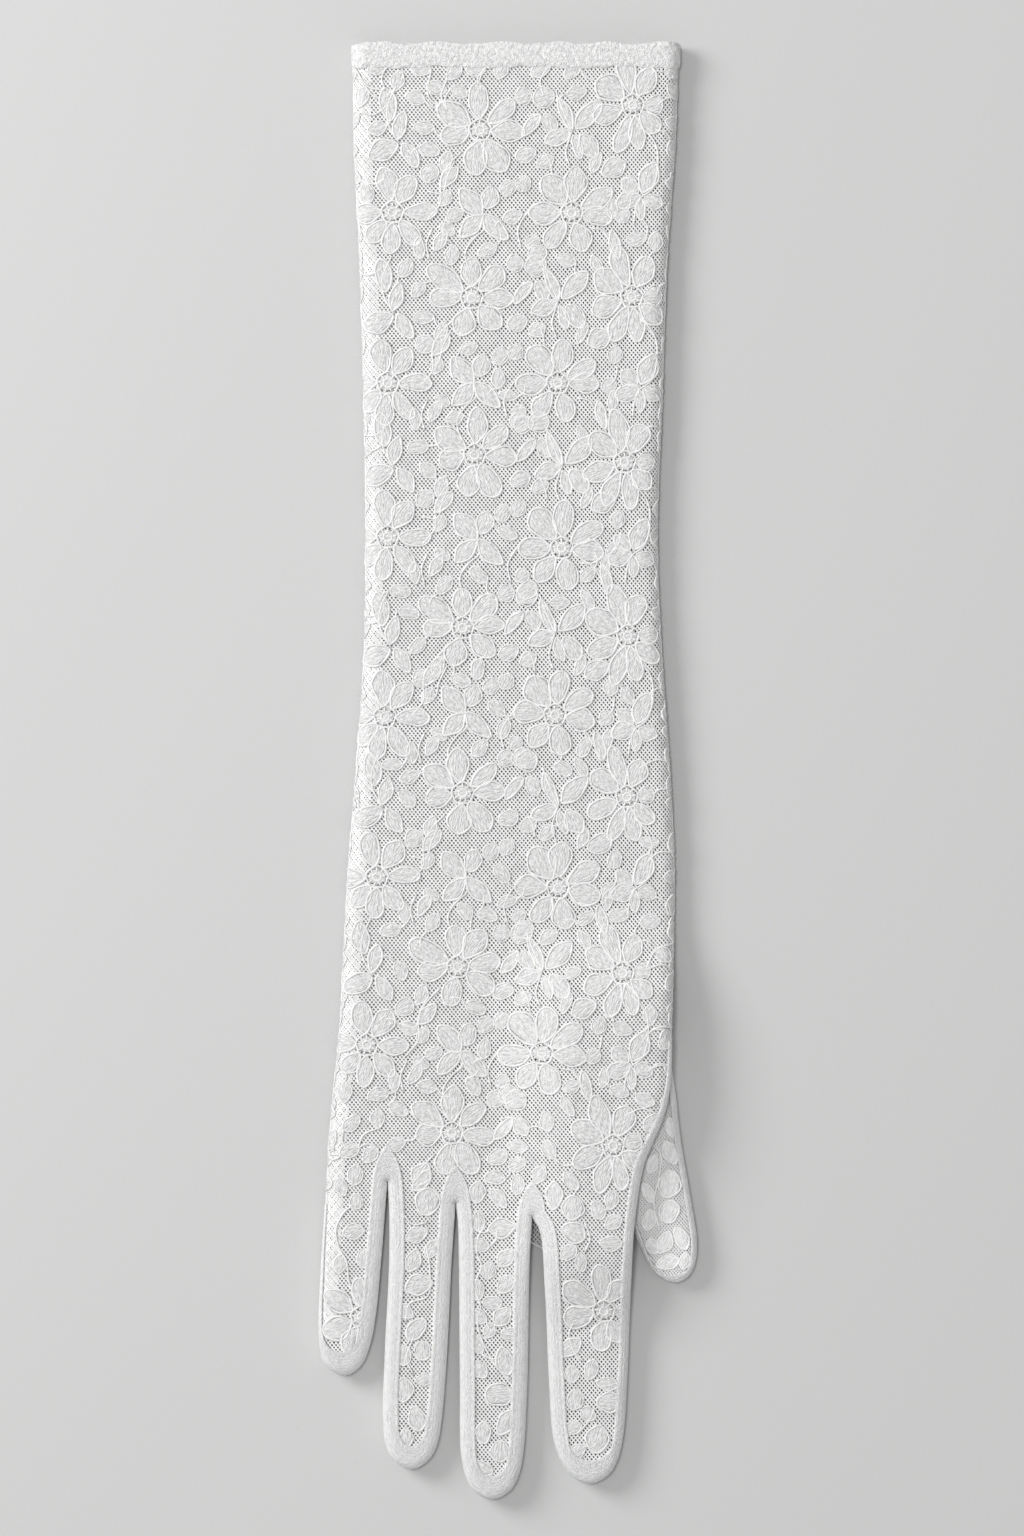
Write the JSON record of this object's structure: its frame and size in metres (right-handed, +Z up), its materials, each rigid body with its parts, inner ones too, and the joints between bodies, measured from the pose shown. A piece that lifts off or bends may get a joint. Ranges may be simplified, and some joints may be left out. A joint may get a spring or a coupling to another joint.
{
  "type": "lace glove",
  "caption": "Elbow-length white lace glove for the right hand, lying flat with its thumb folded under the palm.",
  "frame": {"origin": "on the surface that the glove lies on, under the middle of its outline", "axes": "+Z up out of the back of the hand, +Y from the fingertips to the cuff, +X to the thumb side"},
  "size_m": [0.1014, 0.3904, 0.0138],
  "materials": {
    "lace": "white stretch lace: fine net with corded daisies, leaves and buds",
    "hem_knit": "dense mottled white knit",
    "strip_knit": "dense white knit with fine ribs along its length"
  },
  "bodies": {
    "root": {"back_panel": "lace", "palm_panel": "lace", "thumb": "lace", "hem": "hem_knit", "fourchette_1": "strip_knit", "fourchette_2": "strip_knit", "fourchette_3": "strip_knit"}
  },
  "joints": []
}
